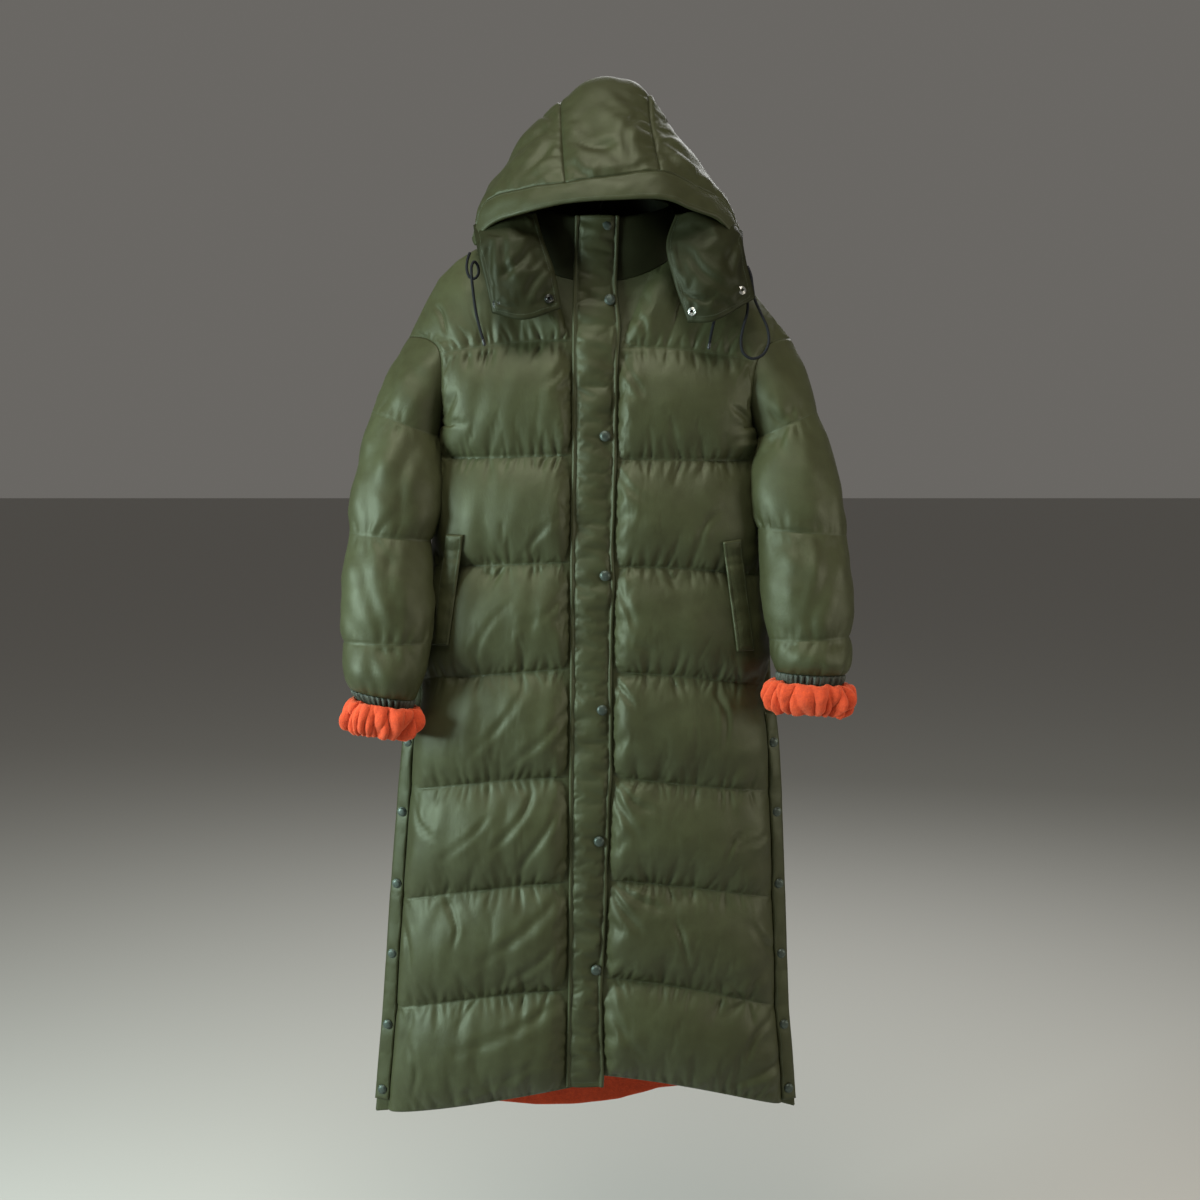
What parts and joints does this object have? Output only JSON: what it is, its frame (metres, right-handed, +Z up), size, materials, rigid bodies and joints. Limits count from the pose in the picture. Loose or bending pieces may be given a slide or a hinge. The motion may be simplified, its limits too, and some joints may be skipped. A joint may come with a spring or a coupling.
{
  "type": "long puffer coat on a hanger",
  "caption": "Long hooded puffer coat hanging empty on a plain hanger, with a snap placket, welt pockets, snapped side vents and gathered cuffs.",
  "frame": {"origin": "crown of the hanger's hook", "axes": "+Z up, +X to the wearer's left, -Y the coat's front"},
  "size_m": [0.7369, 0.2188, 1.5296],
  "materials": {
    "nylon": "satin shell cloth over soft filling",
    "nylon_trim": "satin shell cloth, folded and stitched flat",
    "elastic": "gathered shell cloth over elastic",
    "fleece": "soft short pile",
    "snap_dark": "dark satin lacquer",
    "snap_steel": "bright plated",
    "cord": "round braided",
    "cord_tip": "smooth",
    "hanger_wood": "clear satin",
    "hook_steel": "bright wire"
  },
  "bodies": {
    "root": {"back": "nylon", "collar": "nylon", "cord_tip_left": "cord_tip", "cord_tip_right": "cord_tip", "cuff_elastic_left": "elastic", "cuff_elastic_right": "elastic", "cuff_frill_left": "fleece", "cuff_frill_right": "fleece", "drawcord_left": "cord", "drawcord_right": "cord", "front_left": "nylon", "front_right": "nylon", "hanger_bar": "hanger_wood", "hanger_hook": "hook_steel", "hood_brim": "nylon", "hood_centre": "nylon", "hood_side_left": "nylon", "hood_side_right": "nylon", "hood_tab_left": "nylon", "hood_tab_right": "nylon", "lining_back_hem": "fleece", "placket": "nylon_trim", "placket_snap_1": "snap_dark", "placket_snap_2": "snap_dark", "placket_snap_3": "snap_dark", "placket_snap_4": "snap_dark", "placket_snap_5": "snap_dark", "placket_snap_6": "snap_dark", "placket_snap_7": "snap_dark", "side_snap_left_1": "snap_dark", "side_snap_left_2": "snap_dark", "side_snap_left_3": "snap_dark", "side_snap_left_4": "snap_dark", "side_snap_left_5": "snap_dark", "side_snap_left_6": "snap_dark", "side_snap_right_1": "snap_dark", "side_snap_right_2": "snap_dark", "side_snap_right_3": "snap_dark", "side_snap_right_4": "snap_dark", "side_snap_right_5": "snap_dark", "side_snap_right_6": "snap_dark", "side_strip_left": "nylon_trim", "side_strip_right": "nylon_trim", "sleeve_left": "nylon", "sleeve_right": "nylon", "tab_snap_left_1": "snap_steel", "tab_snap_left_2": "snap_steel", "tab_snap_right_1": "snap_steel", "tab_snap_right_2": "snap_steel", "welt_left": "nylon_trim", "welt_right": "nylon_trim"}
  },
  "joints": []
}
